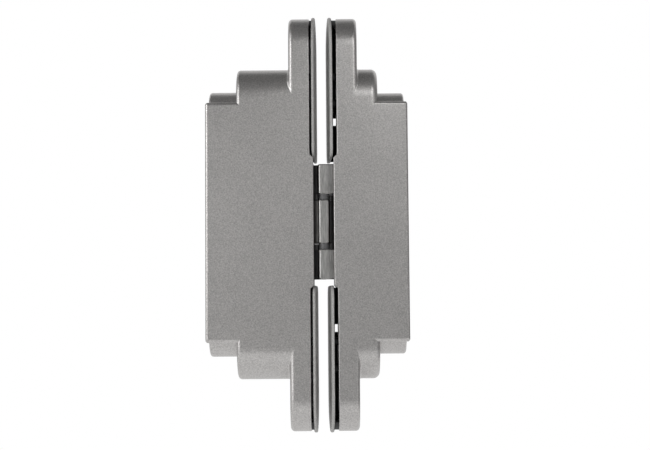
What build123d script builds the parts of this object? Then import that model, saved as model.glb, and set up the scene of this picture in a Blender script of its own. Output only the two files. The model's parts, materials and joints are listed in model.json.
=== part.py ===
from build123d import *
import math
import os

os.makedirs("parts", exist_ok=True)

# Concealed door hinge, closed. Sizes in millimetres.
# +X runs into the frame leaf, +Y is the side the door opens to, +Z is up.
# The origin is the middle of the frame leaf's shoulder, the back of its flange.
# Depths are measured from the closing plane, half way between the two leaves.

# Leaf castings
leaf_length = 160.0
leaf_width = 25.0
leaf_gap = 7.7
flange_thickness = 8.0
flange_reach = 20.0
face_recess = 1.3
rim_length = 50.6
rim_bevel = 1.2
frame_boss_depth = 7.8
door_boss_depth = 20.0
door_tail_depth = 11.8
tail_length = 91.4
frame_tongue_reach = 4.9
door_tongue_reach = 5.6
tongue_width = 21.0
tongue_inset = 1.1
side_wall = 1.75
back_wall = 2.1
shoulder_round = 1.6
frame_boss_round = 2.4
door_boss_round = 1.4
tail_round = 1.0
tail_corner = 1.3
face_round = 0.4
pocket_corner = 0.6

# Linkage in the frame leaf: depths from the closing plane, distances from the leaf's sides
# and rises from the knuckle. The slide pin rests on the leaf's middle plane.
pivot_depth = 8.9
pivot_side_distance = 6.3
knuckle_side_distance = 4.1
slide_depth = 24.4
knee_depth = 8.9
knee_rise = 5.2
heel_depth = 1.2
heel_rise = 3.8
pad_rise = 4.2
leg_rise = 0.4
flank_depth = 3.0
door_swing = 180.0
arm_share = 0.56

# Arms, half heights measured from the middle of the hinge
centre_half_height = 8.35
washer_thickness = 2.15
prong_height = 11.45
arm_half_thickness = 1.8
knee_half_thickness = 2.4
pivot_eye_radius = 4.0
knuckle_width = 4.4
knuckle_round = 1.1
slide_eye_radius = 4.0
arm_edge = 0.4

# Pins and bushes
pivot_pin_radius = 2.25
pivot_bush_wall = 0.75
knuckle_pin_radius = 1.4
knuckle_bush_wall = 0.35
washer_radius = 2.0
slide_pin_radius = 2.0
slide_bush_wall = 0.8
pin_edge = 0.3

# Carriages and slide guides
cheek_gap = 0.45
cheek_thickness = 4.8
plate_thickness = 1.3
plate_gap = 0.35
ear_front_depth = 12.0
ear_thickness = 8.0
ear_length = 11.4
guide_depth = 3.9
guide_wall = 1.2
height_travel = 2.0
gap_travel = 1.0

# Clamp screws, gap screws and clips
screw_radius = 2.0
screw_head_radius = 3.5
screw_head_height = 3.0
screw_socket = 2.5
screw_socket_depth = 1.8
screw_reach = 5.8
clamp_screw_grip = 9.4
gap_screw_grip = 10.4
clip_thickness = 0.8
clip_radius = 3.6
clip_mouth = 3.2

# Cover plates
cover_thickness = 1.15
frame_cover_stand_off = 1.3
door_cover_stand_off = 0.6
frame_cover_tilt = 3.2
door_cover_tilt = 2.2
cover_overhang = 0.5
cover_end_gap = 0.2
cover_corner = 4.5
cover_edge = 0.25
peg_radius = 1.1
peg_collar_radius = 1.5
peg_length = 3.8
peg_side_distance = 4.0
peg_pocket_distance = 4.7
peg_tip_distance = 6.0
rib_width = 1.2
rib_notch = 3.0

# Mounting screw holes, four in each leaf
mount_hole_radius = 2.25
mount_head_radius = 4.3
mount_spread = 11.0
mount_tip_distance = 14.0

# Clearances
running_clearance = 0.05
sliding_clearance = 0.10
slot_clearance = 0.20
free_clearance = 0.20

# How far a cut runs past the metal, and a joined block into it
overrun = 1.0

# Values that follow from the sizes above
half_length = leaf_length / 2
half_width = leaf_width / 2
pocket_half_width = half_width - side_wall
boss_length = leaf_length - 2 * flange_reach
rim_depth = leaf_gap / 2
face_depth = rim_depth + face_recess
shoulder_depth = face_depth + flange_thickness
closing_x = -shoulder_depth
pivot_offset = half_width - pivot_side_distance
knuckle_offset = knuckle_side_distance - half_width
knee_offset = knuckle_offset + knee_rise
heel_offset = knuckle_offset + heel_rise
pad_depth = knee_half_thickness + free_clearance
pad_offset = knuckle_offset + pad_rise
leg_offset = knuckle_offset + leg_rise
prong_inner = centre_half_height + washer_thickness
prong_outer = prong_inner + prong_height
centre_pad_half = prong_inner - sliding_clearance
fork_pad_inner = centre_half_height + sliding_clearance
cheek_inner = prong_outer + cheek_gap
cheek_outer = cheek_inner + cheek_thickness
ear_outer = cheek_outer + ear_length
ear_back_depth = ear_front_depth + ear_thickness
screw_place = cheek_outer + screw_reach
plate_front_depth = slide_depth + slide_eye_radius + plate_gap
carriage_back_depth = plate_front_depth + plate_thickness
carriage_front_depth = face_depth + gap_travel + sliding_clearance
carriage_half_width = pocket_half_width - sliding_clearance
slide_bush_radius = slide_pin_radius + slide_bush_wall
slot_half = slide_bush_radius + slot_clearance
guide_half = slot_half + guide_wall
frame_back_depth = carriage_back_depth + sliding_clearance + back_wall
door_back_depth = shoulder_depth + door_boss_depth + door_tail_depth
frame_ear_half = ear_outer + height_travel + free_clearance
door_ear_floor = ear_back_depth + running_clearance + clip_thickness + gap_travel + free_clearance
mount_place = half_length - mount_tip_distance
near_peg_place = frame_ear_half + peg_pocket_distance
far_peg_place = (near_peg_place + mount_place) / 2
tip_peg_place = half_length - peg_tip_distance
peg_y = half_width - peg_side_distance


def across(side, depth):
    """X of a depth, in the frame leaf (side 1) or the door leaf (side -1)."""
    return closing_x + side * depth


def clockwise(point, degrees):
    turn = math.radians(degrees)
    x = point[0] * math.cos(turn) + point[1] * math.sin(turn)
    y = point[1] * math.cos(turn) - point[0] * math.sin(turn)
    return (x, y)


def slide_point(opening):
    """Depth and Y of a slide pin in its leaf when the door stands open by an angle."""
    reach = (-pivot_depth, knuckle_offset - pivot_offset)
    swung = clockwise(reach, arm_share * opening)
    slide_leg = (slide_depth, -knuckle_offset)
    turned = clockwise(slide_leg, (1 - arm_share) * opening)
    return (pivot_depth + swung[0] + turned[0], pivot_offset + swung[1] + turned[1])


slide_path = [slide_point(0.0), slide_point(door_swing / 2), slide_point(door_swing)]
knuckle_point = (closing_x, knuckle_offset)
leg_point = (closing_x, leg_offset)


def pivot_point(side):
    return (across(side, pivot_depth), pivot_offset)


def knee_point(side):
    return (across(side, knee_depth), knee_offset)


def heel_point(side):
    return (across(side, heel_depth), heel_offset)


def pad_point(side):
    return (across(side, pad_depth), pad_offset)


def slide_rest(side):
    return (across(side, slide_depth), 0.0)


def save(builder, label):
    builder.part.label = label
    export_step(builder.part, "parts/" + label + ".step")


def bar(start, end, half):
    """Round-ended bar between two points, drawn in the open sketch."""
    run = math.hypot(end[0] - start[0], end[1] - start[1])
    lean = math.degrees(math.atan2(end[1] - start[1], end[0] - start[0]))
    with Locations(((start[0] + end[0]) / 2, (start[1] + end[1]) / 2)):
        SlotCenterToCenter(run, 2 * half, rotation=lean)


def disc(point, radius):
    with Locations(point):
        Circle(radius)


def slot_edge(side):
    points = [(across(side, depth), y) for depth, y in slide_path]
    return Edge.make_three_point_arc(*points)


def leaf_housing(side, boss_depth, boss_round, back, tongue_reach, deep_half, ear_half, ear_floor,
                 thread_radius, thread_end):
    """Die-cast leaf: flange, rim, boss, tail and tongue, cored out for its carriage."""
    inward = Axis((0, 0, 0), (side, 0, 0))
    boss_end = shoulder_depth + boss_depth
    root = face_depth + flange_thickness / 2
    face_plane = Plane.YZ.offset(across(side, face_depth))
    root_plane = Plane.YZ.offset(across(side, root))
    with BuildPart() as housing:
        with BuildSketch(face_plane):
            SlotOverall(leaf_length, leaf_width, rotation=90)
        extrude(amount=side * flange_thickness)
        fillet(housing.edges().group_by(inward)[-1], shoulder_round)
        fillet(housing.edges().group_by(inward)[0], face_round)
        with BuildSketch(root_plane):
            SlotOverall(boss_length, leaf_width, rotation=90)
        extrude(amount=side * (boss_end - root))
        fillet(housing.edges().group_by(inward)[-1], boss_round)
        with BuildSketch(root_plane):
            SlotOverall(tail_length + 2 * tongue_reach, tongue_width, rotation=90)
        extrude(amount=side * (back - tongue_inset - root))
        fillet(housing.edges().group_by(inward)[-1], tail_round)
        with BuildSketch(root_plane):
            RectangleRounded(leaf_width, tail_length, tail_corner)
        extrude(amount=side * (back - root))
        fillet(housing.edges().group_by(inward)[-1], tail_round)
        with BuildSketch(root_plane):
            Rectangle(leaf_width, rim_length)
        extrude(amount=side * (rim_depth - root))
        chamfer(housing.edges().group_by(inward)[0].filter_by(Axis.Y), rim_bevel)
        fillet(housing.edges().group_by(inward)[0], face_round)
        with BuildSketch(Plane.YZ.offset(closing_x)):
            RectangleRounded(2 * pocket_half_width, 2 * deep_half, pocket_corner)
        extrude(amount=side * (back - back_wall), mode=Mode.SUBTRACT)
        with BuildSketch(Plane.YZ.offset(closing_x)):
            RectangleRounded(2 * pocket_half_width, 2 * ear_half, pocket_corner)
        extrude(amount=side * ear_floor, mode=Mode.SUBTRACT)
        with BuildSketch(Plane.YZ.offset(across(side, ear_floor))):
            with Locations((0, screw_place), (0, -screw_place)):
                Circle(thread_radius)
        extrude(amount=side * (thread_end - ear_floor), mode=Mode.SUBTRACT)
        for y in (mount_spread / 2, -mount_spread / 2):
            for z in (mount_place, -mount_place):
                seat = Plane((across(side, face_depth), y, z), z_dir=(-side, 0, 0))
                with Locations(seat):
                    CounterSinkHole(mount_hole_radius, mount_head_radius, flange_thickness + overrun, 90)
        for y, z in peg_places():
            for end in (1, -1):
                seat = Plane((across(side, face_depth), y, end * z), z_dir=(-side, 0, 0))
                with Locations(seat):
                    Hole(peg_radius, peg_length + free_clearance)
    return housing


def peg_places():
    """Y and height of the pegs of one cover: two pairs and one near the tip."""
    pairs = [(y, z) for z in (near_peg_place, far_peg_place) for y in (peg_y, -peg_y)]
    return pairs + [(0.0, tip_peg_place)]


def leaf_carriage(side, slot_travel):
    """Cradle in a leaf: two cheeks with pivot bores and guide recesses, a back plate and two ears."""
    cheek_plane = Plane.YZ.offset(across(side, carriage_front_depth))
    plate_plane = Plane.YZ.offset(across(side, plate_front_depth))
    ear_plane = Plane.YZ.offset(across(side, ear_front_depth))
    width = 2 * carriage_half_width
    with BuildPart() as carriage:
        with BuildSketch(cheek_plane):
            RectangleRounded(width, 2 * cheek_outer, pocket_corner)
            Rectangle(width + overrun, 2 * cheek_inner, mode=Mode.SUBTRACT)
        extrude(amount=side * (carriage_back_depth - carriage_front_depth))
        with BuildSketch(plate_plane):
            RectangleRounded(width, 2 * cheek_outer, pocket_corner)
        extrude(amount=side * plate_thickness)
        with BuildSketch(ear_plane):
            RectangleRounded(width, 2 * ear_outer, pocket_corner)
            Rectangle(width + overrun, 2 * (cheek_outer - overrun), mode=Mode.SUBTRACT)
        extrude(amount=side * ear_thickness)
        with BuildSketch(Plane.XY.offset(-ear_outer)):
            disc(pivot_point(side), pivot_pin_radius)
        extrude(amount=2 * ear_outer, mode=Mode.SUBTRACT)
        for end in (1, -1):
            with BuildSketch(Plane.XY.offset(end * cheek_inner)):
                SlotArc(slot_edge(side), 2 * guide_half)
            extrude(amount=end * guide_depth, mode=Mode.SUBTRACT)
            with BuildSketch(ear_plane):
                with Locations((0, end * screw_place)):
                    bore = screw_radius + sliding_clearance
                    if slot_travel > 0:
                        SlotCenterToCenter(2 * slot_travel, 2 * bore, rotation=90)
                    else:
                        Circle(bore)
            extrude(amount=side * ear_thickness, mode=Mode.SUBTRACT)
    return carriage


def slide_guide(side, end):
    """Plastic liner with the curved slot, let into a carriage cheek."""
    front = across(side, carriage_front_depth)
    depth = carriage_back_depth - carriage_front_depth
    with BuildPart() as guide:
        with BuildSketch(Plane.XY.offset(end * cheek_inner)):
            SlotArc(slot_edge(side), 2 * guide_half)
            with Locations((front + side * depth / 2, 0)):
                Rectangle(depth, 2 * carriage_half_width, mode=Mode.INTERSECT)
            SlotArc(slot_edge(side), 2 * slot_half, mode=Mode.SUBTRACT)
        extrude(amount=end * guide_depth)
    return guide


def arm(side, layers, pads, flank):
    """Arm that pivots in one leaf, turns on the knuckle pin and slides in the other leaf."""
    with BuildPart() as piece:
        for low, high in layers:
            with BuildSketch(Plane.XY.offset(low)):
                bar(pivot_point(side), knee_point(side), knee_half_thickness)
                bar(knee_point(side), heel_point(side), knee_half_thickness)
                bar(heel_point(side), knuckle_point, arm_half_thickness)
                bar(leg_point, slide_rest(-side), arm_half_thickness)
                disc(pivot_point(side), pivot_eye_radius)
                with Locations(knuckle_point):
                    RectangleRounded(knuckle_width, knuckle_width, knuckle_round)
                if flank > 0:
                    bar(knuckle_point, (across(-side, flank), knuckle_offset), knuckle_width / 2)
            extrude(amount=high - low)
            chamfer(piece.faces().filter_by(Axis.Z).filter_by_position(Axis.Z, low, high).edges(), arm_edge)
        for low, high in pads:
            with BuildSketch(Plane.XY.offset(low)):
                bar(knee_point(side), pad_point(side), knee_half_thickness)
            extrude(amount=high - low)
        with BuildSketch(Plane.XY.offset(-prong_outer)):
            disc(slide_rest(-side), slide_eye_radius)
        extrude(amount=2 * prong_outer)
        with BuildSketch(Plane.XY.offset(-prong_outer)):
            disc(pivot_point(side), pivot_pin_radius + running_clearance + pivot_bush_wall)
            disc(slide_rest(-side), slide_pin_radius)
        extrude(amount=2 * prong_outer, mode=Mode.SUBTRACT)
    return piece


def tube(point, low, high, outer, inner):
    with BuildPart() as piece:
        with BuildSketch(Plane.XY.offset(low)):
            with Locations(point):
                Circle(outer)
                Circle(inner, mode=Mode.SUBTRACT)
        extrude(amount=high - low)
    return piece


def pin(point, half_length, radius):
    with BuildPart() as piece:
        with BuildSketch(Plane.XY.offset(-half_length)):
            disc(point, radius)
        extrude(amount=2 * half_length)
        chamfer(piece.edges().filter_by(GeomType.CIRCLE), pin_edge)
    return piece


def socket_screw(side, end, grip):
    """Cap screw along X with its head in front of a carriage ear."""
    head_depth = ear_front_depth - running_clearance - screw_head_height
    place = (0, end * screw_place)
    head_plane = Plane.YZ.offset(across(side, head_depth))
    with BuildPart() as screw:
        with BuildSketch(head_plane):
            disc(place, screw_head_radius)
        extrude(amount=side * screw_head_height)
        chamfer(screw.edges().filter_by(GeomType.CIRCLE), pin_edge)
        with BuildSketch(head_plane):
            disc(place, screw_radius)
        extrude(amount=side * (screw_head_height + ear_thickness + grip))
        inward = Axis((0, 0, 0), (side, 0, 0))
        chamfer(screw.edges().group_by(inward)[-1], pin_edge)
        with BuildSketch(head_plane):
            with Locations(place):
                RegularPolygon(screw_socket / 2, 6, major_radius=False)
        extrude(amount=side * screw_socket_depth, mode=Mode.SUBTRACT)
    return screw


def cover(side, end, stand_off, tilt, notch):
    """Cover plate over one end of a leaf, on pegs and a rib, a little prouder on the opening side."""
    lean = math.radians(tilt)
    near_y = -half_width - cover_overhang
    back_depth = face_depth - stand_off
    near = (across(side, back_depth), near_y, 0)
    plate_plane = Plane(near, x_dir=(-side * math.sin(lean), math.cos(lean), 0),
                        z_dir=(math.cos(lean), side * math.sin(lean), 0))
    inner = rim_length / 2 - rim_bevel + cover_end_gap
    tip_centre = half_length - half_width
    width = leaf_width + 2 * cover_overhang
    rib_inner = inner + rib_width / 2
    rib_outer = tip_centre + peg_y
    with BuildPart() as plate:
        with BuildSketch(plate_plane) as outline:
            with Locations((width / 2, end * (inner + tip_centre) / 2)):
                Rectangle(width, tip_centre - inner)
            fillet(outline.vertices().group_by(Axis.Y)[0 if end > 0 else -1], cover_corner)
            with Locations((width / 2, end * tip_centre)):
                Circle(width / 2)
        extrude(amount=-side * cover_thickness)
        chamfer(plate.edges(), cover_edge)
        for y, z in peg_places():
            top = back_depth - (y - near_y) * math.tan(lean) - cover_thickness / 2
            with BuildSketch(Plane.YZ.offset(across(side, top))):
                disc((y, end * z), peg_collar_radius)
            extrude(amount=side * (face_depth - top))
            with BuildSketch(Plane.YZ.offset(across(side, face_depth))):
                disc((y, end * z), peg_radius)
            extrude(amount=side * peg_length)
        root = back_depth - (peg_y - near_y) * math.tan(lean) - cover_thickness / 2
        with BuildSketch(Plane.YZ.offset(across(side, root))):
            with Locations((peg_y, end * (rib_inner + rib_outer) / 2)):
                Rectangle(rib_width, rib_outer - rib_inner)
            if notch > 0:
                with Locations((peg_y, end * frame_ear_half)):
                    Rectangle(rib_width, notch, mode=Mode.SUBTRACT)
        extrude(amount=side * (face_depth - sliding_clearance - root))
    return plate


frame_housing = leaf_housing(
    1, frame_boss_depth, frame_boss_round, frame_back_depth, frame_tongue_reach,
    cheek_outer + height_travel + free_clearance,
    frame_ear_half,
    ear_back_depth + sliding_clearance,
    screw_radius, ear_back_depth + clamp_screw_grip + free_clearance)
save(frame_housing, "frame_housing")

door_housing = leaf_housing(
    -1, door_boss_depth, door_boss_round, door_back_depth, door_tongue_reach,
    cheek_outer + sliding_clearance,
    ear_outer + sliding_clearance,
    door_ear_floor,
    screw_radius + running_clearance, ear_back_depth + gap_screw_grip + gap_travel + free_clearance)
save(door_housing, "door_housing")

save(leaf_carriage(1, height_travel), "frame_carriage")
save(leaf_carriage(-1, 0.0), "door_carriage")

centre_arm = arm(1, [(-centre_half_height, centre_half_height)],
                 [(-centre_pad_half, centre_pad_half)], 0.0)
with BuildPart() as centre_arm_bored:
    add(centre_arm.part)
    with BuildSketch(Plane.XY.offset(-centre_half_height)):
        disc(knuckle_point, knuckle_pin_radius + running_clearance + knuckle_bush_wall)
    extrude(amount=2 * centre_half_height, mode=Mode.SUBTRACT)
save(centre_arm_bored, "centre_arm")

fork_arm = arm(-1, [(prong_inner, prong_outer), (-prong_outer, -prong_inner)],
               [(fork_pad_inner, prong_inner + overrun), (-prong_inner - overrun, -fork_pad_inner)],
               flank_depth)
with BuildPart() as fork_arm_bored:
    add(fork_arm.part)
    with BuildSketch(Plane.XY.offset(-prong_outer)):
        disc(knuckle_point, knuckle_pin_radius)
    extrude(amount=2 * prong_outer, mode=Mode.SUBTRACT)
save(fork_arm_bored, "fork_arm")

for leaf, side, stand_off, tilt, notch in (
        ("frame", 1, frame_cover_stand_off, frame_cover_tilt, rib_notch),
        ("door", -1, door_cover_stand_off, door_cover_tilt, 0.0)):
    save(pin(pivot_point(side), cheek_outer - free_clearance, pivot_pin_radius), leaf + "_pivot_pin")
    for level, end in (("upper", 1), ("lower", -1)):
        save(slide_guide(side, end), leaf + "_slide_guide_" + level)
        save(cover(side, end, stand_off, tilt, notch), leaf + "_cover_" + level)

save(pin(knuckle_point, prong_outer - free_clearance, knuckle_pin_radius), "knuckle_pin")
slide_pin_half = cheek_inner + guide_depth - free_clearance
save(pin(slide_rest(-1), slide_pin_half, slide_pin_radius), "centre_slide_pin")
save(pin(slide_rest(1), slide_pin_half, slide_pin_radius), "fork_slide_pin")

bush_inner = pivot_pin_radius + running_clearance
bush_outer = bush_inner + pivot_bush_wall
save(tube(pivot_point(1), -centre_half_height, centre_half_height, bush_outer, bush_inner),
     "centre_pivot_bush")
knuckle_inner = knuckle_pin_radius + running_clearance
save(tube(knuckle_point, -centre_half_height, centre_half_height,
          knuckle_inner + knuckle_bush_wall, knuckle_inner), "knuckle_bush")

for level, end in (("upper", 1), ("lower", -1)):
    low, high = sorted((end * prong_inner, end * prong_outer))
    save(tube(pivot_point(-1), low, high, bush_outer, bush_inner), "fork_pivot_bush_" + level)
    low, high = sorted((end * (centre_half_height + running_clearance), end * prong_inner))
    save(tube(knuckle_point, low, high, washer_radius, knuckle_pin_radius), "knuckle_washer_" + level)
    low, high = sorted((end * (prong_outer + free_clearance), end * slide_pin_half))
    for owner, side in (("centre", -1), ("fork", 1)):
        save(tube(slide_rest(side), low, high, slide_bush_radius, slide_pin_radius),
             owner + "_slide_bush_" + level)
    save(socket_screw(1, end, clamp_screw_grip), "clamp_screw_" + level)
    save(socket_screw(-1, end, gap_screw_grip), "gap_screw_" + level)
    with BuildPart() as clip:
        with BuildSketch(Plane.YZ.offset(across(-1, ear_back_depth + running_clearance))):
            with Locations((0, end * screw_place)):
                Circle(clip_radius)
                Circle(screw_radius, mode=Mode.SUBTRACT)
            with Locations((0, end * (screw_place + clip_radius / 2))):
                Rectangle(clip_mouth, clip_radius, mode=Mode.SUBTRACT)
        extrude(amount=-clip_thickness)
    save(clip, "gap_screw_clip_" + level)
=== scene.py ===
"""Concealed door hinge: finishes, cast fillets, rib feet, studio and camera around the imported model."""

import json
import math

import bmesh
import bpy
from mathutils import Matrix, Vector


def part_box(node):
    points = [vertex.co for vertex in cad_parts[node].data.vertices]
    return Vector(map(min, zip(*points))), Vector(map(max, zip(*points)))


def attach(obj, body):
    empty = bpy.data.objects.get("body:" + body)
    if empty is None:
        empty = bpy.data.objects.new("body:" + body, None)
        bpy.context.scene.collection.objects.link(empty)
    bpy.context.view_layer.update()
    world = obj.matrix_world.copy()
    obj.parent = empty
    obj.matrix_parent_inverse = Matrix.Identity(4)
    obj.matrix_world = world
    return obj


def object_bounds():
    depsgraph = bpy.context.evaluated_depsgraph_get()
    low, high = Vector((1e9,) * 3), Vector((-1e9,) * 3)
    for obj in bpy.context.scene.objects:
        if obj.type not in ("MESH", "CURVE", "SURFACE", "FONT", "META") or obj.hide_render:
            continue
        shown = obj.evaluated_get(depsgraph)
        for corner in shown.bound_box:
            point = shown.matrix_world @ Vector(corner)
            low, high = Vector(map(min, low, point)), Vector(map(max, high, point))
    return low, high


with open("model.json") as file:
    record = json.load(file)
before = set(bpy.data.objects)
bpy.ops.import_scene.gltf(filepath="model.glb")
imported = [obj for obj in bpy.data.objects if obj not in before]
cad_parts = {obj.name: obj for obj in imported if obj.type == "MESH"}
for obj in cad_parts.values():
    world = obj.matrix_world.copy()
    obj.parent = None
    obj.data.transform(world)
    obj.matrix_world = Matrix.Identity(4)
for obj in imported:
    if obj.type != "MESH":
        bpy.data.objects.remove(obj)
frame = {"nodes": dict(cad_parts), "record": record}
cad_low, cad_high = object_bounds()
cad_middle = (cad_low + cad_high) / 2

MM = 0.001

# Camera, fitted to the photograph's 650 x 450 frame
IMAGE_WIDTH = 650
SENSOR_WIDTH = 36.0
FOCAL_PIXELS = 1209.4
CAMERA_DISTANCE = 470 * MM
CAMERA_ELEVATION = math.radians(-3.74)
CAMERA_ROLL = math.radians(-0.47)
CAMERA_TARGET = Vector((-12.70, 0.0, -0.69)) * MM
CAMERA_NEAR = 10 * MM

# Surface patterns, in millimetres. The real flakes, drawn lines, mould grain and pores are finer,
# and are drawn this coarse so that they show
HOUSING_FLAKE = 0.45
COVER_FLAKE = 0.35
LACQUER_CLOUD = 14.0
ARM_LINE = 0.40
CASTING_FLOW = 4.0
ACETAL_GRAIN = 0.25
BRONZE_PORE = 0.3

# How much of the cloud shows among the flakes
CLOUD_SHARE = 0.10

# Painted shade on the arms: it starts behind the nose, and a lighter painted shade starts beside the frame
# leaf
ARM_SHADE_Y = (-8.1 * MM, -7.2 * MM)
ARM_SIDE_SHADE_X = (-12.1 * MM, -10.3 * MM)
ARM_SIDE_SHADE_SHARE = 0.5

# Sockets of a Mix node for colours, whose names its other kinds share
MIX_FACTOR, MIX_A, MIX_B, MIX_RESULT = 0, 6, 7, 2

# Covers: the side of the closing plane that they are on, the slope of their leaning backs,
# and how far a back is towards that side at Y = 0. Towards that side of its back a cover takes a painted
# shade
COVER_BACKS = {"frame": (1, 0.0559, -10.25 * MM), "door": (-1, 0.0384, 17.0 * MM)}

# Edges of the new pieces that turn by more than this stay sharp
SHARP_ANGLE = math.radians(40)

# Cast fillets round the ends of the bosses, which reach into the metal by their root
FLANGE_REACH = 20 * MM
SHOULDER_ROUND = 1.6 * MM
FILLET_RADIUS = 0.9 * MM
FILLET_ROOT = 2.5 * MM
FILLET_SKIN = 0.01 * MM
FILLET_ARC_STEPS = 12
FILLET_TURN_STEPS = 120

# Feet of the covers' ribs: a bow round the tip, and straight runs that start and stop this far from
# the middle of the leaf. The frame leaf's ribs have a notch between two runs
RIB_RADIUS = 12 * MM
RIB_WIDTH = 1.1 * MM
RIB_PLACE = 8.5 * MM
RIB_ROOT = 0.4 * MM
RIB_CLEARANCE = 0.02 * MM
RIB_TURN = math.pi / 2
RIB_TURN_STEPS = 24
RIB_RUNS = {
    "frame": ((24.9 * MM, 39.3 * MM), (42.3 * MM, 75 * MM)),
    "door": ((24.9 * MM, 75 * MM),),
}
PEG_LENGTH = 3.8 * MM

# Studio, in metres. A card has degrees to the left of the camera's side, degrees up, distance,
# size and level, where 1 is as white as the background
FLOOR_DROP = 0.24
STAGE_SIZE = 6.0
FILL_LEVEL = 0.7
CARDS = {
    "front_card": (0, 14, 1.3, (2.6, 0.70), 0.62),
    "front_low_card": (0, -8, 1.2, (2.6, 0.26), 0.05),
    "left_soft_box": (42, 25, 1.0, (0.5, 1.05), 4.3),
    "left_card": (122, 0, 1.0, (0.9, 1.6), 0.45),
    "right_card": (-95, 0, 1.0, (1.6, 1.6), 0.30),
    "top_card": (0, 75, 0.9, (2.2, 1.85), 0.18),
    "top_left_card": (17, 36, 0.36, (0.25, 0.22), 0.05),
    "top_right_soft_box": (-22, 32, 0.36, (0.15, 0.07), 5.6),
    "low_bounce_card": (0, -72, 0.32, (0.5, 0.16), 0.94),
}


def linear(hex_colour):
    """Linear RGBA of an sRGB hex colour."""
    channels = [int(hex_colour[i:i + 2], 16) / 255 for i in (1, 3, 5)]
    return [c / 12.92 if c <= 0.04045 else ((c + 0.055) / 1.055) ** 2.4 for c in channels] + [1.0]


def add_node(tree, kind, settings=None, links=None):
    """Adds a node, sets its properties and input values, and links its inputs."""
    node = tree.nodes.new(kind)
    for name, value in (settings or {}).items():
        if isinstance(name, str) and hasattr(node, name):
            setattr(node, name, value)
        else:
            node.inputs[name].default_value = value
    for name, source in (links or {}).items():
        tree.links.new(source, node.inputs[name])
    return node


def cleared_tree(owner):
    """The emptied node tree of a new material or world."""
    owner.use_nodes = True
    owner.node_tree.nodes.clear()
    return owner.node_tree


def new_material(name):
    """A new material with its tree, its Object coordinates and its shader."""
    material = bpy.data.materials.new(name)
    tree = cleared_tree(material)
    place = add_node(tree, "ShaderNodeTexCoord").outputs["Object"]
    shader = add_node(tree, "ShaderNodeBsdfPrincipled")
    add_node(tree, "ShaderNodeOutputMaterial", links={"Surface": shader.outputs["BSDF"]})
    return material, tree, place, shader


def per_metre(size_mm):
    """Texture scale that gives a pattern of this size in millimetres."""
    return 1 / (size_mm * MM)


def lacquer_flakes(tree, place, grain_mm, dark, light):
    """Colour and height of a satin metallic lacquer: fine light and dark flakes under a faint cloud."""
    flakes = add_node(tree, "ShaderNodeTexNoise",
                      {"Scale": per_metre(grain_mm), "Detail": 3.0, "Roughness": 0.62}, {"Vector": place})
    clouds = add_node(tree, "ShaderNodeTexNoise",
                      {"Scale": per_metre(LACQUER_CLOUD), "Detail": 2.0}, {"Vector": place})
    mottle = add_node(tree, "ShaderNodeMath", {"operation": "MULTIPLY_ADD", 1: CLOUD_SHARE},
                      {0: clouds.outputs["Fac"], 2: flakes.outputs["Fac"]})
    tone = add_node(tree, "ShaderNodeValToRGB", links={"Fac": mottle.outputs["Value"]})
    tone.color_ramp.elements[0].position = 0.39
    tone.color_ramp.elements[0].color = linear(dark)
    tone.color_ramp.elements[1].position = 0.71
    tone.color_ramp.elements[1].color = linear(light)
    return tone.outputs["Color"], flakes.outputs["Fac"]


def satin_lacquered_zinc():
    """Zinc die casting under a satin metallic lacquer: an even grey of fine flakes,
    with a soft orange-peel waviness that blurs what it mirrors."""
    material, tree, place, shader = new_material("satin_zinc_casting")
    colour, flakes = lacquer_flakes(tree, place, HOUSING_FLAKE, "#a2a09f", "#c8c6c4")
    gloss = add_node(tree, "ShaderNodeMapRange", {"To Min": 0.33, "To Max": 0.45}, {"Value": flakes})
    peel = add_node(tree, "ShaderNodeBump", {"Strength": 0.35, "Distance": 0.02 * MM}, {"Height": flakes})
    shader.inputs["Metallic"].default_value = 1.0
    tree.links.new(colour, shader.inputs["Base Color"])
    tree.links.new(gloss.outputs["Result"], shader.inputs["Roughness"])
    tree.links.new(peel.outputs["Normal"], shader.inputs["Normal"])
    return material


def lacquered_cover(name, side, lean, back):
    """Moulded cover plate: satin lacquer on its face and edges, and a near-black, unmetallic painted shade
    on its back, its rib and its pegs, so that the slit behind it looks black."""
    material, tree, place, shader = new_material(name)
    colour, flakes = lacquer_flakes(tree, place, COVER_FLAKE, "#a2a19f", "#c4c3c1")
    # Painted shade: what lies behind the plane of the cover's back turns near black and loses its metal
    depth = add_node(tree, "ShaderNodeVectorMath",
                     {"operation": "DOT_PRODUCT", 1: (side, lean, 0)}, {0: place})
    cover_back_shade = add_node(tree, "ShaderNodeMath", {"operation": "GREATER_THAN", 1: back},
                    {0: depth.outputs["Value"]})
    cover_shaded_colour = add_node(tree, "ShaderNodeMix",
                    {"data_type": "RGBA", "blend_type": "MULTIPLY", MIX_B: linear("#262627")},
                    {MIX_FACTOR: cover_back_shade.outputs["Value"], MIX_A: colour})
    flake_metal = add_node(tree, "ShaderNodeMapRange", {"To Min": 0.35, "To Max": 0.0},
                           {"Value": cover_back_shade.outputs["Value"]})
    gloss = add_node(tree, "ShaderNodeMapRange", {"To Min": 0.57, "To Max": 0.69}, {"Value": flakes})
    peel = add_node(tree, "ShaderNodeBump", {"Strength": 0.35, "Distance": 0.02 * MM}, {"Height": flakes})
    tree.links.new(cover_shaded_colour.outputs[MIX_RESULT], shader.inputs["Base Color"])
    tree.links.new(flake_metal.outputs["Result"], shader.inputs["Metallic"])
    tree.links.new(gloss.outputs["Result"], shader.inputs["Roughness"])
    tree.links.new(peel.outputs["Normal"], shader.inputs["Normal"])
    return material


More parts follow.
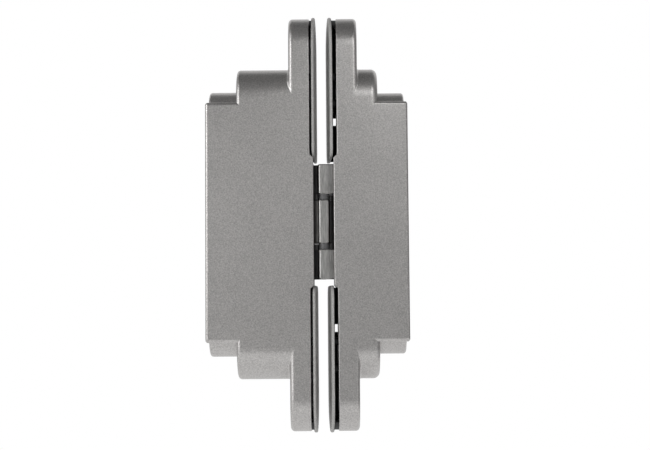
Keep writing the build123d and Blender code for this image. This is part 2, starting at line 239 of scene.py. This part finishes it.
def extruded_arm():
    """Arm cut from an extruded profile: satin with fine drawn lines on the nose that shows between the
    closed leaves, darkened with painted shade where the arm works inside them, and with a lighter painted
    shade beside the frame leaf."""
    material, tree, place, shader = new_material("satin_arm")
    drawn = add_node(tree, "ShaderNodeMapping", {"Scale": (1.0, 1.0, 0.12)}, {"Vector": place})
    colour, lines = lacquer_flakes(tree, drawn.outputs["Vector"], ARM_LINE, "#9a9997", "#bdbcba")
    # Painted shade: the arm darkens from behind its nose inwards, and half as much beside the frame leaf
    across = add_node(tree, "ShaderNodeSeparateXYZ", links={"Vector": place})
    inside = add_node(tree, "ShaderNodeMapRange", {"From Min": ARM_SHADE_Y[0], "From Max": ARM_SHADE_Y[1]},
                      {"Value": across.outputs["Y"]})
    arm_side_shade = add_node(tree, "ShaderNodeMapRange",
                     {"From Min": ARM_SIDE_SHADE_X[0], "From Max": ARM_SIDE_SHADE_X[1], "To Max": ARM_SIDE_SHADE_SHARE},
                     {"Value": across.outputs["X"]})
    arm_shade = add_node(tree, "ShaderNodeMath", {"operation": "MAXIMUM"},
                      {0: inside.outputs["Result"], 1: arm_side_shade.outputs["Result"]})
    shaded_arm_colour = add_node(tree, "ShaderNodeMix",
                    {"data_type": "RGBA", "blend_type": "MULTIPLY", MIX_B: linear("#959597")},
                    {MIX_FACTOR: arm_shade.outputs["Value"], MIX_A: colour})
    gloss = add_node(tree, "ShaderNodeMapRange", {"To Min": 0.31, "To Max": 0.43}, {"Value": lines})
    groove = add_node(tree, "ShaderNodeBump", {"Strength": 0.35, "Distance": 0.02 * MM}, {"Height": lines})
    shader.inputs["Metallic"].default_value = 1.0
    tree.links.new(shaded_arm_colour.outputs[MIX_RESULT], shader.inputs["Base Color"])
    tree.links.new(gloss.outputs["Result"], shader.inputs["Roughness"])
    tree.links.new(groove.outputs["Normal"], shader.inputs["Normal"])
    return material


def bare_zinc_casting():
    """Zinc as it leaves the die: duller and darker than the lacquer, with cold-flow clouds; its deep grey,
    well below that of unlacquered zinc, is painted shade.
    """
    material, tree, place, shader = new_material("bare_zinc_casting")
    flow = add_node(tree, "ShaderNodeTexNoise",
                    {"Scale": per_metre(CASTING_FLOW), "Detail": 5.0, "Distortion": 0.8}, {"Vector": place})
    # Painted shade: these greys are set much darker than unlacquered zinc
    tone = add_node(tree, "ShaderNodeValToRGB", links={"Fac": flow.outputs["Fac"]})
    tone.color_ramp.elements[0].position = 0.3
    tone.color_ramp.elements[0].color = linear("#38393b")
    tone.color_ramp.elements[1].position = 0.72
    tone.color_ramp.elements[1].color = linear("#545557")
    skin = add_node(tree, "ShaderNodeBump", {"Strength": 0.3, "Distance": 0.03 * MM},
                    {"Height": flow.outputs["Fac"]})
    shader.inputs["Metallic"].default_value = 1.0
    shader.inputs["Roughness"].default_value = 0.55
    tree.links.new(tone.outputs["Color"], shader.inputs["Base Color"])
    tree.links.new(skin.outputs["Normal"], shader.inputs["Normal"])
    return material


def moulded_acetal():
    """Acetal with carbon black from a spark-eroded mould: a dark grey with a fine matt grain."""
    material, tree, place, shader = new_material("black_acetal")
    grain = add_node(tree, "ShaderNodeTexNoise",
                     {"Scale": per_metre(ACETAL_GRAIN), "Detail": 2.0}, {"Vector": place})
    tone = add_node(tree, "ShaderNodeValToRGB", links={"Fac": grain.outputs["Fac"]})
    tone.color_ramp.elements[0].color = linear("#4c4c4d")
    tone.color_ramp.elements[1].color = linear("#6c6c6d")
    rough = add_node(tree, "ShaderNodeBump", {"Strength": 0.4, "Distance": 0.02 * MM},
                     {"Height": grain.outputs["Fac"]})
    shader.inputs["IOR"].default_value = 1.48
    shader.inputs["Roughness"].default_value = 0.45
    tree.links.new(tone.outputs["Color"], shader.inputs["Base Color"])
    tree.links.new(rough.outputs["Normal"], shader.inputs["Normal"])
    return material


def sintered_bronze():
    """Pressed and sintered bronze, soaked with oil: dull gold brown, full of small dark pores."""
    material, tree, place, shader = new_material("bearing_bronze")
    pores = add_node(tree, "ShaderNodeTexVoronoi", {"Scale": per_metre(BRONZE_PORE)}, {"Vector": place})
    tone = add_node(tree, "ShaderNodeValToRGB", links={"Fac": pores.outputs["Distance"]})
    tone.color_ramp.elements[0].position = 0.05
    tone.color_ramp.elements[0].color = linear("#6a4a26")
    tone.color_ramp.elements[1].position = 0.35
    tone.color_ramp.elements[1].color = linear("#b98f56")
    pits = add_node(tree, "ShaderNodeBump", {"Strength": 0.5, "Distance": 0.03 * MM},
                    {"Height": pores.outputs["Distance"]})
    shader.inputs["Metallic"].default_value = 1.0
    shader.inputs["Roughness"].default_value = 0.42
    tree.links.new(tone.outputs["Color"], shader.inputs["Base Color"])
    tree.links.new(pits.outputs["Normal"], shader.inputs["Normal"])
    return material


def drawn_steel(name, dark, light, roughness, lines_mm, along):
    """Turned or drawn steel, bright or thinly plated: fine lines that run along the axes
    in which the pattern is stretched."""
    material, tree, place, shader = new_material(name)
    stretch = add_node(tree, "ShaderNodeMapping", {"Scale": along}, {"Vector": place})
    lines = add_node(tree, "ShaderNodeTexNoise", {"Scale": per_metre(lines_mm), "Detail": 2.0},
                     {"Vector": stretch.outputs["Vector"]})
    tone = add_node(tree, "ShaderNodeValToRGB", links={"Fac": lines.outputs["Fac"]})
    tone.color_ramp.elements[0].position = 0.3
    tone.color_ramp.elements[0].color = linear(dark)
    tone.color_ramp.elements[1].position = 0.7
    tone.color_ramp.elements[1].color = linear(light)
    groove = add_node(tree, "ShaderNodeBump", {"Strength": 0.25, "Distance": 0.01 * MM},
                      {"Height": lines.outputs["Fac"]})
    shader.inputs["Metallic"].default_value = 1.0
    shader.inputs["Roughness"].default_value = roughness
    tree.links.new(tone.outputs["Color"], shader.inputs["Base Color"])
    tree.links.new(groove.outputs["Normal"], shader.inputs["Normal"])
    return material


FINISHES = {
    "satin_zinc_casting": satin_lacquered_zinc(),
    "satin_arm": extruded_arm(),
    "bare_zinc_casting": bare_zinc_casting(),
    "black_acetal": moulded_acetal(),
    "bearing_bronze": sintered_bronze(),
    "zinc_plated_screw": drawn_steel("zinc_plated_screw", "#a9adb2", "#c4c8cc",
                                     roughness=0.28, lines_mm=0.3, along=(0.2, 1.0, 1.0)),
    "spring_steel": drawn_steel("spring_steel", "#5a5b5e", "#77797c",
                                roughness=0.35, lines_mm=0.4, along=(1.0, 1.0, 0.2)),
    "hardened_steel_pin": drawn_steel("hardened_steel_pin", "#98999c", "#b4b5b8",
                                      roughness=0.22, lines_mm=0.12, along=(0.05, 0.05, 1.0)),
}
COVERS = {leaf: lacquered_cover(f"satin_{leaf}_cover", *back) for leaf, back in COVER_BACKS.items()}

# Every CAD node gets the finish of its slot, and a cover the finish of its own leaf's covers
for row in frame["record"]["subparts"]:
    leaf = row["node"].split("_")[0]
    finish = COVERS[leaf] if row["material_slot"] == "satin_cover_plate" else FINISHES[row["material_slot"]]
    frame["nodes"][row["node"]].data.materials[0] = finish


def add_piece(name, form, material, body):
    """Makes a finished form a piece that rides on a body."""
    bmesh.ops.recalc_face_normals(form, faces=form.faces[:])
    mesh = bpy.data.meshes.new(name)
    form.to_mesh(mesh)
    form.free()
    mesh.shade_smooth()
    mesh.set_sharp_from_angle(angle=SHARP_ANGLE)
    mesh.materials.append(material)
    piece = bpy.data.objects.new(name, mesh)
    bpy.context.collection.objects.link(piece)
    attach(piece, body)


def add_boss_fillet(leaf, level, side, shoulder_x, end):
    """Cast fillet round one end of a boss, where it stands on the back of its flange.
    Near the leaf's sides it follows the flange's rounded edge down."""
    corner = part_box(leaf + "_housing")[1]
    half_length, half_width = corner.z, corner.y
    centre = Vector((0, 0, end * (half_length - FLANGE_REACH - half_width)))
    top_x = shoulder_x + side * FILLET_RADIUS
    root_x = shoulder_x - side * FILLET_ROOT
    inner, outer = half_width - FILLET_ROOT, half_width + FILLET_RADIUS
    form = bmesh.new()
    form.verts.new((top_x, half_width, centre.z))
    bmesh.ops.spin(form, geom=form.verts[:], cent=(top_x, outer, centre.z), axis=(0, 0, 1),
                   angle=-side * math.pi / 2, steps=FILLET_ARC_STEPS)
    root = [form.verts.new((x, y, centre.z)) for x, y in ((root_x, outer), (root_x, inner), (top_x, inner))]
    form.faces.new([vert for vert in form.verts if vert not in root] + root)
    bmesh.ops.spin(form, geom=form.verts[:] + form.edges[:] + form.faces[:], cent=centre, axis=(1, 0, 0),
                   angle=end * math.pi, steps=FILLET_TURN_STEPS)
    # The rounded edge opens the corner, and there the fillet narrows as a rolling ball's does:
    # steep is the edge's slope where the boss meets it, and share is what is left of the fillet
    for vert in form.verts:
        away = Vector((0, vert.co.y, vert.co.z - centre.z))
        sine = min(1.0, abs(away.y) / away.length)
        steep = math.asin(max(0.0, half_width * (sine - 1) / SHOULDER_ROUND + 1))
        share = math.tan((math.pi / 2 - math.atan(math.tan(steep) * sine)) / 2)
        vert.co += (share - 1) * (away - half_width * away.normalized())
        vert.co.x = shoulder_x + share * (vert.co.x - shoulder_x)
    # It ends a hair inside the leaf's sides
    for way in (1, -1):
        cut = bmesh.ops.bisect_plane(form, geom=form.verts[:] + form.edges[:] + form.faces[:],
                                     plane_co=(0, way * (half_width - FILLET_SKIN), 0),
                                     plane_no=(0, way, 0), clear_outer=True)
        rim = [item for item in cut["geom_cut"] if isinstance(item, bmesh.types.BMEdge)]
        bmesh.ops.edgeloop_fill(form, edges=rim)
    for vert in form.verts:
        past = max(0.0, abs(vert.co.y) - half_width + SHOULDER_ROUND)
        vert.co.x -= side * (SHOULDER_ROUND - math.sqrt(SHOULDER_ROUND ** 2 - past ** 2))
    add_piece(f"{leaf}_boss_fillet_{level}", form, FINISHES["satin_zinc_casting"],
              leaf + "_leaf")


def add_rib_foot(leaf, level, end):
    """Foot that seats a cover's rib on the flange and carries it round the tip, so that the slit behind the
    cover
    looks black: a dark piece in the slit, near black with the cover's painted shade."""
    side, lean, back = COVER_BACKS[leaf]
    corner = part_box(leaf + "_housing")[1]
    centre = Vector((0, 0, end * (corner.z - corner.y)))
    peg_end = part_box(f"{leaf}_cover_{level}")[1 if side > 0 else 0].x
    foot_x = peg_end - side * (PEG_LENGTH + RIB_CLEARANCE)
    form = bmesh.new()
    for radius in (RIB_RADIUS - RIB_WIDTH, RIB_RADIUS):
        form.verts.new((foot_x, radius * math.sin(RIB_TURN / 2),
                        centre.z + end * radius * math.cos(RIB_TURN / 2)))
    form.edges.new(form.verts)
    bmesh.ops.spin(form, geom=form.verts[:] + form.edges[:], cent=centre, axis=(1, 0, 0),
                   angle=end * RIB_TURN, steps=RIB_TURN_STEPS)
    # Each run starts as a strip on the flange, its width along Y and its length along Z
    for start, stop in RIB_RUNS[leaf]:
        lay = Matrix(((0, 0, 1, foot_x), (RIB_WIDTH, 0, 0, RIB_PLACE),
                      (0, stop - start, 0, end * (start + stop) / 2), (0, 0, 0, 1)))
        bmesh.ops.create_grid(form, x_segments=1, y_segments=1, size=0.5, matrix=lay)
    raised = bmesh.ops.extrude_face_region(form, geom=form.faces[:])
    for item in raised["geom"]:
        if isinstance(item, bmesh.types.BMVert):
            item.co.x = side * (back - lean * item.co.y - RIB_ROOT)
    # The foot takes the cover's near-black painted shade
    add_piece(f"{leaf}_cover_rib_foot_{level}", form, COVERS[leaf], leaf + "_leaf")


# The frame leaf's shoulder is the origin, and the door leaf's is its image across the closing plane
closing_x = (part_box("frame_housing")[0].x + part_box("door_housing")[1].x) / 2
for leaf, side, shoulder_x in (("frame", 1, 0.0), ("door", -1, 2 * closing_x)):
    for level, end in (("upper", 1), ("lower", -1)):
        add_boss_fillet(leaf, level, side, shoulder_x, end)
        add_rib_foot(leaf, level, end)


def add_stage_plane(name, size, matrix, material):
    """A flat sheet of the studio, lying where the matrix puts it."""
    mesh = bpy.data.meshes.new(name)
    sheet = bmesh.new()
    bmesh.ops.create_grid(sheet, x_segments=1, y_segments=1, size=0.5)
    bmesh.ops.transform(sheet, matrix=matrix @ Matrix.Diagonal((size[0], size[1], 1, 1)), verts=sheet.verts)
    sheet.to_mesh(mesh)
    sheet.free()
    mesh.materials.append(material)
    piece = bpy.data.objects.new(name, mesh)
    bpy.context.collection.objects.link(piece)
    return piece


def seen_or_mirrored(tree):
    """1 for what the camera sees, straight, mirrored or through glass, and 0 for light on the object."""
    path = add_node(tree, "ShaderNodeLightPath")
    seen = add_node(tree, "ShaderNodeMath", {"operation": "MAXIMUM"},
                    {0: path.outputs["Is Camera Ray"], 1: path.outputs["Is Glossy Ray"]})
    shown = add_node(tree, "ShaderNodeMath", {"operation": "MAXIMUM"},
                     {0: seen.outputs["Value"], 1: path.outputs["Is Transmission Ray"]})
    return shown.outputs["Value"]


def add_floor():
    """Pale paper: white where it is seen or mirrored, and it still takes the object's shadow."""
    material = bpy.data.materials.new("white_studio_paper")
    tree = cleared_tree(material)
    paper = add_node(tree, "ShaderNodeBsdfDiffuse", {"Color": linear("#f4f4f4")})
    white = add_node(tree, "ShaderNodeEmission", {"Color": linear("#ffffff"), "Strength": 1.0})
    both = add_node(tree, "ShaderNodeMixShader", links={
        "Fac": seen_or_mirrored(tree), 1: paper.outputs["BSDF"], 2: white.outputs["Emission"]})
    add_node(tree, "ShaderNodeOutputMaterial", links={"Surface": both.outputs["Shader"]})
    drop = Matrix.Translation((0, 0, cad_low.z - FLOOR_DROP))
    add_stage_plane("studio_floor", (STAGE_SIZE, STAGE_SIZE), drop, material)


def add_world():
    """White all round where it is seen or mirrored, and a softer fill elsewhere."""
    world = bpy.data.worlds.new("white_studio")
    bpy.context.scene.world = world
    tree = cleared_tree(world)
    level = add_node(tree, "ShaderNodeMapRange", {"To Min": FILL_LEVEL, "To Max": 1.0},
                     {"Value": seen_or_mirrored(tree)})
    white = add_node(tree, "ShaderNodeBackground", {"Color": linear("#ffffff")},
                     {"Strength": level.outputs["Result"]})
    add_node(tree, "ShaderNodeOutputWorld", links={"Surface": white.outputs["Background"]})


def add_card(name, bearing, height, distance, size, level):
    """A plain card for the metal to mirror, darker than the white round it or a lit soft box.
    It faces the middle of the hinge, and the camera can't see it."""
    material = bpy.data.materials.new(name)
    tree = cleared_tree(material)
    glow = add_node(tree, "ShaderNodeEmission", {"Color": linear("#ffffff"), "Strength": level})
    add_node(tree, "ShaderNodeOutputMaterial", links={"Surface": glow.outputs["Emission"]})
    turn, rise = math.radians(bearing), math.radians(height)
    way = Vector((-math.sin(turn) * math.cos(rise), -math.cos(turn) * math.cos(rise), math.sin(rise)))
    place = cad_middle + distance * way
    look = (cad_middle - place).to_track_quat("-Z", "Y").to_matrix().to_4x4()
    card = add_stage_plane(name, size, Matrix.Translation(place) @ look, material)
    card.visible_camera = False


def add_camera():
    """The photograph's camera: a little below the middle of the hinge and looking slightly up."""
    data = bpy.data.cameras.new("camera")
    data.sensor_fit = "HORIZONTAL"
    data.sensor_width = SENSOR_WIDTH
    data.lens = FOCAL_PIXELS * SENSOR_WIDTH / IMAGE_WIDTH
    data.clip_start = CAMERA_NEAR
    ahead = Vector((0, math.cos(CAMERA_ELEVATION), -math.sin(CAMERA_ELEVATION)))
    level_right = Vector((1, 0, 0))
    level_up = level_right.cross(ahead)
    right = level_right * math.cos(CAMERA_ROLL) + level_up * math.sin(CAMERA_ROLL)
    up = level_up * math.cos(CAMERA_ROLL) - level_right * math.sin(CAMERA_ROLL)
    turn = Matrix((right, up, -ahead)).transposed().to_4x4()
    camera = bpy.data.objects.new("camera", data)
    camera.matrix_world = Matrix.Translation(CAMERA_TARGET - CAMERA_DISTANCE * ahead) @ turn
    bpy.context.collection.objects.link(camera)
    bpy.context.scene.camera = camera


add_floor()
add_world()
for name, card in CARDS.items():
    add_card(name, *card)
add_camera()

bpy.context.scene.view_settings.view_transform = "Standard"
